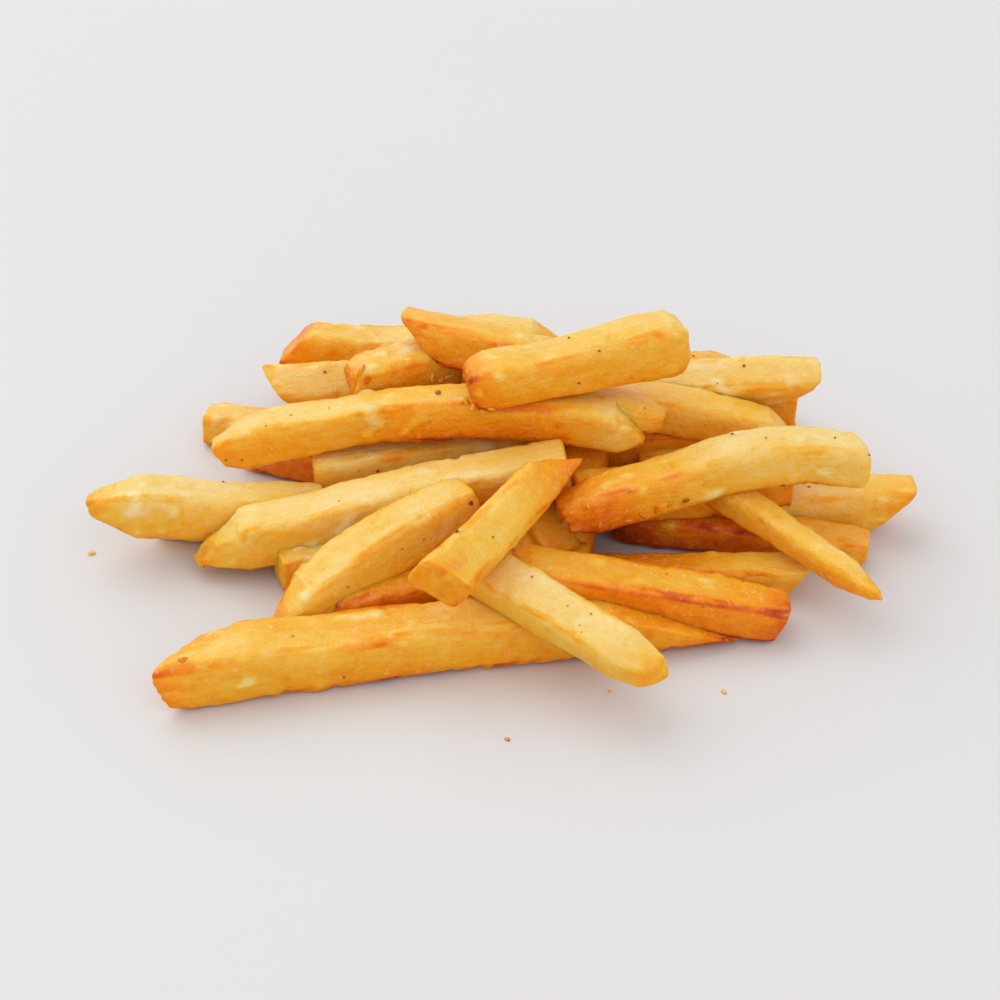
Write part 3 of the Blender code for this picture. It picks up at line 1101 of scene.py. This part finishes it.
def crust_of(name, depth):
    """The crust, driven by what is stored on the points. Depth is how far
    light sinks in, in metres."""
    material, make = new_material(name)
    skin = skin_of(make)
    base = specked(make, skin, floured_and_highlighted(make, skin, browned_and_shaded(make, skin)))
    relief = 0.5 * skin.mottle + 0.55 * skin.streaks + 0.35 * skin.grain
    film = 0.15 + 0.75 * skin.streaks.between(0.45, 0.68)
    make.fill(make.shader, {
        "Base Color": base,
        "Roughness": 0.24 + 0.40 * skin.mottle,
        "Normal": make.bump(BUMP_STRENGTH, BUMP_DEPTH, relief),
        "Specular IOR Level": 0.16,
        "Subsurface Weight": MOIST if depth else 0.0,
        "Subsurface Radius": LIGHT_REACH,
        "Subsurface Scale": depth,
        "Coat Weight": skin.up.between(0.45, 0.95) * film,
        "Coat Roughness": 0.24,
    })
    return material


potato = crust_of("fried_potato", FRY_DEPTH)
dry_crust = crust_of("dry_crust", 0.0)
for piece in [*fries.values(), core]:
    piece.data.materials.clear()
    piece.data.materials.append(potato)
print("the material has", len(potato.node_tree.nodes), "nodes")

# %% [markdown]
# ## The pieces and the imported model
# Each fry rides on the one body of the model and stands for the plain solid,
# which stays hidden and keeps its weight and its collision shape.

# %% Tie the pieces to the model


def tie(piece):
    """Puts the piece in the place of the solid, on the model's one body."""
    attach(piece, "root")
    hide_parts("fries")


for piece in [*fries.values(), core]:
    tie(piece)
print(len(fries) + 1, "pieces stand for the solid")

# %% [markdown]
# ## The table
# A plain pale surface that runs far beyond the picture, matt enough to show
# the soft shadows and the warm light that the fries throw on it.

# %% Lay the table
TABLE_SIZE = 6.0
TABLE_TINTS = ((0.71, 0.705, 0.705, 1.0), (0.74, 0.732, 0.732, 1.0))
CLOUD_SIZE = 0.2


def add_table():
    bpy.ops.mesh.primitive_plane_add(size=TABLE_SIZE, location=(0.0, 0.0, 0.0))
    table = bpy.context.object
    table.name = "table"
    material, make = new_material("pale_table")
    cloud = make.noise(make.place(), CLOUD_SIZE)
    make.fill(make.shader, {
        "Base Color": make.mix(cloud, *TABLE_TINTS),
        "Roughness": 0.6,
        "Specular IOR Level": 0.3,
    })
    table.data.materials.append(material)
    return table


table = add_table()
print("the table's top is at", table.location.z)

# %% [markdown]
# ## Light
# The photograph has one very large soft light, high on the left and behind,
# and pale surroundings that fill the shadows. The light at the front right is
# the room itself, which throws some of the window's light back.

# %% Set the lights
# What the lights face: the middle of the heap.
LIT_SPOT = (0.0, 0.0, 0.02)
ROOM_TINT = (0.98, 0.985, 1.0)
ROOM_STRENGTH = 0.73


def add_soft_light(name, place, size, power, tint):
    """A square light at this place that faces the heap."""
    bpy.ops.object.light_add(type="AREA", location=place)
    light = bpy.context.object
    light.name = name
    light.data.shape = "SQUARE"
    light.data.size = size
    light.data.energy = power
    light.data.color = tint
    aim = Vector(LIT_SPOT) - Vector(place)
    light.rotation_euler = aim.to_track_quat("-Z", "Y").to_euler()
    return light


def set_surroundings(strength, tint):
    world = bpy.data.worlds.new("pale_room")
    world.use_nodes = True
    background = world.node_tree.nodes["Background"]
    background.inputs["Color"].default_value = (*tint, 1.0)
    background.inputs["Strength"].default_value = strength
    bpy.context.scene.world = world


key = add_soft_light("window", (-0.99, 0.96, 1.60), 2.4, 22.2, (1.0, 0.985, 0.965))
fill = add_soft_light("fill", (0.60, -1.40, 1.20), 2.0, 8.5, (1.0, 1.0, 1.0))
set_surroundings(ROOM_STRENGTH, ROOM_TINT)
bpy.context.scene.view_settings.view_transform = "Standard"
print("lights:", key.name, "and", fill.name)

# %% [markdown]
# ## The camera
# The picture was taken from the front, 35 degrees above the table and close
# enough that the front fries look a little larger than the back ones.

# %% Place the camera
# Degrees above the table, and millimetres.
CAMERA_HEIGHT = 35.0
CAMERA_AWAY = 420.0
AIM_HIGH = 20.0
AIM = (-HEAP_MIDDLE[0], -HEAP_MIDDLE[1], AIM_HIGH - TABLE)
LENS = 85.0
FILM = 36.0


def add_camera():
    height = math.radians(CAMERA_HEIGHT)
    away = Vector((0.0, -math.cos(height), math.sin(height))) * CAMERA_AWAY
    spot = (Vector(AIM) + away) * MM
    bpy.ops.object.camera_add(location=spot, rotation=(math.pi / 2 - height, 0.0, 0.0))
    camera = bpy.context.object
    camera.data.sensor_width = FILM
    camera.data.lens = LENS
    camera.data.clip_start = 0.01
    bpy.context.scene.camera = camera
    return camera


camera = add_camera()
print("the camera is at", tuple(round(value, 3) for value in camera.location))

# %% [markdown]
# ## Finding the place of a bit
# The bits of spice and the crumbs belong where the photograph shows them. A
# ray from the camera through a point of the picture says which fry, or which
# spot of the table, lies there and how the surface faces, so that each bit
# sits on what carries it and is right from every side.

# %% Look through the camera
# In points of the picture, which is 1000 wide and high.
PICTURE_SIDE = 1000.0
PICTURE_MIDDLE = PICTURE_SIDE / 2.0
FOCUS = PICTURE_SIDE * LENS / FILM


def under_point(across, down):
    """The spot and the normal of what shows at this point of the picture."""
    bpy.context.view_layer.update()
    start = camera.matrix_world.translation
    aside = (across - PICTURE_MIDDLE) / FOCUS
    higher = (PICTURE_MIDDLE - down) / FOCUS
    ray = (camera.matrix_world.to_3x3() @ Vector((aside, higher, -1.0))).normalized()
    hits = [piece.ray_cast(start, ray) for piece in [*fries.values(), core, table]]
    hits = [(spot, normal) for found, spot, normal, face in hits if found]
    return min(hits, key=lambda hit: (hit[0] - start).length)


middle_spot = under_point(PICTURE_MIDDLE, PICTURE_MIDDLE)[0]
print("the middle of the picture shows the spot", np.round(middle_spot, 3))

# %% [markdown]
# ## Spice, scraps and crumbs
# Dark flakes of spice and burnt bits stick to the fries, pale scraps of crisp
# crust hang on where fries rubbed together, and a few crumbs fell on the
# table. The lists say where in the picture each one is and how large in mm,
# and for scraps and crumbs how brown.

# %% List the bits
SPICE_SPOTS = [
    (438, 393, 1.5), (686, 500, 1.5), (783, 485, 1.1), (471, 503, 1.1), (457, 532, 0.9),
    (378, 471, 0.8), (223, 482, 0.8), (242, 460, 0.6), (226, 460, 0.7), (693, 356, 0.7),
    (569, 338, 0.7), (579, 383, 0.7), (744, 366, 0.7), (732, 434, 0.7), (809, 487, 0.8),
    (325, 372, 0.8), (266, 426, 0.45), (291, 415, 0.5), (329, 408, 0.45), (339, 501, 0.5),
    (402, 549, 0.55), (424, 539, 0.5), (348, 587, 0.6), (293, 636, 0.6), (344, 677, 0.7),
    (480, 409, 0.7), (493, 537, 0.5), (599, 351, 0.7), (766, 438, 0.5), (835, 438, 0.6),
    (869, 455, 0.6), (667, 574, 0.45), (703, 607, 0.5), (591, 614, 0.5), (532, 577, 0.5),
]
SCRAP_SPOTS = [
    (432, 378, 1.3, 0.40), (441, 380, 1.0, 0.46), (449, 377, 1.1, 0.42), (457, 379, 0.9, 0.50),
    (466, 402, 1.1, 0.44), (474, 407, 1.2, 0.48), (483, 411, 1.0, 0.44), (491, 409, 0.9, 0.50),
    (361, 371, 1.7, 0.70), (367, 380, 1.3, 0.78), (560, 521, 0.9, 0.72), (572, 513, 0.8, 0.62),
    (588, 506, 0.8, 0.55), (600, 525, 1.0, 0.74), (613, 526, 1.1, 0.80), (628, 521, 0.9, 0.74),
    (642, 515, 1.1, 0.82), (656, 510, 1.0, 0.76), (670, 504, 0.9, 0.80), (183, 660, 0.9, 0.72),
]
CRUMB_SPOTS = [
    (92, 554, 1.3, 0.28), (507, 740, 1.0, 0.90), (724, 693, 1.1, 0.30), (610, 692, 0.7, 0.35),
]
print(len(SPICE_SPOTS), "bits of spice are placed by the picture")

# %% [markdown]
# ## A broken lump
# One ball of few faces is copied for every bit, dented, squashed, turned and
# pressed on with its flat side. No two are alike, and each has few faces, so
# hundreds of them are cheap.

# %% Model a lump and copy it
LUMP_DENTS = Lumps(0.45, 0.5)
LUMP_PUFFS = Lumps(0.6, 1.0)
# How far the middle of a lump stands off the surface, as a share of its thickness.
STANDS_OFF = 0.22

bpy.ops.mesh.primitive_ico_sphere_add(subdivisions=2, radius=0.5)
lump = bpy.context.object
lump.name = "lump"
bpy.ops.object.select_all(action="DESELECT")


def add_lump(spot, normal, size, thick, tone, seed, drawn_out=1.0):
    """A copy of the lump of this size in mm, pressed on at the spot."""
    mesh = lump.data.copy()
    piece = bpy.data.objects.new("bit", mesh)
    bpy.context.scene.collection.objects.link(piece)
    points = read_points(mesh)
    bumpy = 1.0 + LUMP_DENTS.height * noise_of(LUMP_DENTS, points, seed)
    narrow = 0.55 + 0.4 * abs(math.sin(seed * 7.0))
    points = points * bumpy[:, None] * (drawn_out, narrow, thick)
    turn = normal.to_track_quat("Z", "Y").to_matrix() @ Matrix.Rotation(seed * 2.4, 3, "Z")
    points = points @ np.array(turn).T * size + np.array(normal) * size * thick * STANDS_OFF
    placed = points * MM + np.array(spot)
    placed[:, 2] = np.maximum(placed[:, 2], 0.0)
    write_points(mesh, placed)
    nothing = np.zeros(len(points))
    keep_crust(mesh, nothing, nothing, noise_of(LUMP_PUFFS, points, seed), nothing + tone)
    keep_up(mesh)
    keep_stick(mesh, read_points(mesh))
    mesh.shade_smooth()
    return piece


print("a lump has", len(lump.data.polygons), "faces")

# %% [markdown]
# ## Where the bits lie
# The lists place the bits that the photograph shows. Finer dust of the spice
# is strewn all over the heap, so that its back and sides have some too.

# %% Copy the lumps to their places
STREWN = 150
SPICE_SCALE = 0.85
SPICE_TONE = 1.0
LEAST_DUST = 0.20
DUST_SPREAD = 0.25


def bits_at(spots, thick, first_seed, drawn_out=1.0):
    """A lump on what shows at each of these points of the picture."""
    bits = []
    for number, (across, down, size, tone) in enumerate(spots):
        spot, normal = under_point(across, down)
        bits.append(add_lump(spot, normal, size, thick, tone, first_seed + number, drawn_out))
    return bits


def strewn_dust(count, thick, first_seed):
    """Small lumps all over the heap."""
    picker = np.random.default_rng(11)
    bits = []
    for number, name in enumerate(picker.choice(list(fries), count)):
        mesh = fries[name].data
        point = mesh.vertices[int(picker.integers(len(mesh.vertices)))]
        size = LEAST_DUST + DUST_SPREAD * float(picker.random()) ** 2
        seed = first_seed + number
        bits.append(add_lump(point.co, point.normal, size, thick, SPICE_TONE, seed))
    return bits


spice_spots = [(*place, size * SPICE_SCALE, SPICE_TONE) for *place, size in SPICE_SPOTS]
spice_bits = bits_at(spice_spots, 0.5, 3.0) + strewn_dust(STREWN, 0.4, 60.0)
scraps = bits_at(SCRAP_SPOTS, 0.4, 20.3, 1.7)
crumbs = bits_at(CRUMB_SPOTS, 0.7, 40.7)
bpy.data.objects.remove(lump)
print(len(spice_bits), "bits of spice,", len(scraps), "scraps and", len(crumbs), "crumbs")

# %% [markdown]
# ## Spice
# Paprika and burnt crust: dark red, brown and a greenish brown. The noise is
# much larger than a flake, so each flake has nearly one colour, but no two
# flakes are alike. Every kind of bit is joined into one piece.

# %% Make the spice and join the bits
SPICE_STOPS = [
    (0.34, (0.36, 0.20, 0.025, 1.0)),
    (0.50, (0.42, 0.10, 0.012, 1.0)),
    (0.66, (0.22, 0.020, 0.008, 1.0)),
]


def spice():
    material, make = new_material("spice")
    where = make.place()
    kind = make.noise(where, 0.004, 1.0) + 0.25 * (make.noise(where, 0.0004) - 0.5)
    grain = make.noise(where, 0.0003)
    make.fill(make.shader, {
        "Base Color": make.ramp(kind, SPICE_STOPS),
        "Roughness": 0.35 + 0.4 * grain,
        "Normal": make.bump(0.6, 0.0002, grain),
    })
    return material


def joined(name, pieces, material):
    """The pieces as one, tied to the model."""
    for piece in pieces:
        piece.select_set(True)
    bpy.context.view_layer.objects.active = pieces[0]
    bpy.ops.object.join()
    whole = bpy.context.object
    whole.name = name
    whole.data.materials.clear()
    whole.data.materials.append(material)
    bpy.ops.object.select_all(action="DESELECT")
    tie(whole)


joined("spice_bits", spice_bits, spice())
joined("crisp_scraps", scraps, dry_crust)
joined("table_crumbs", crumbs, dry_crust)
print("the bits are joined into 3 pieces")
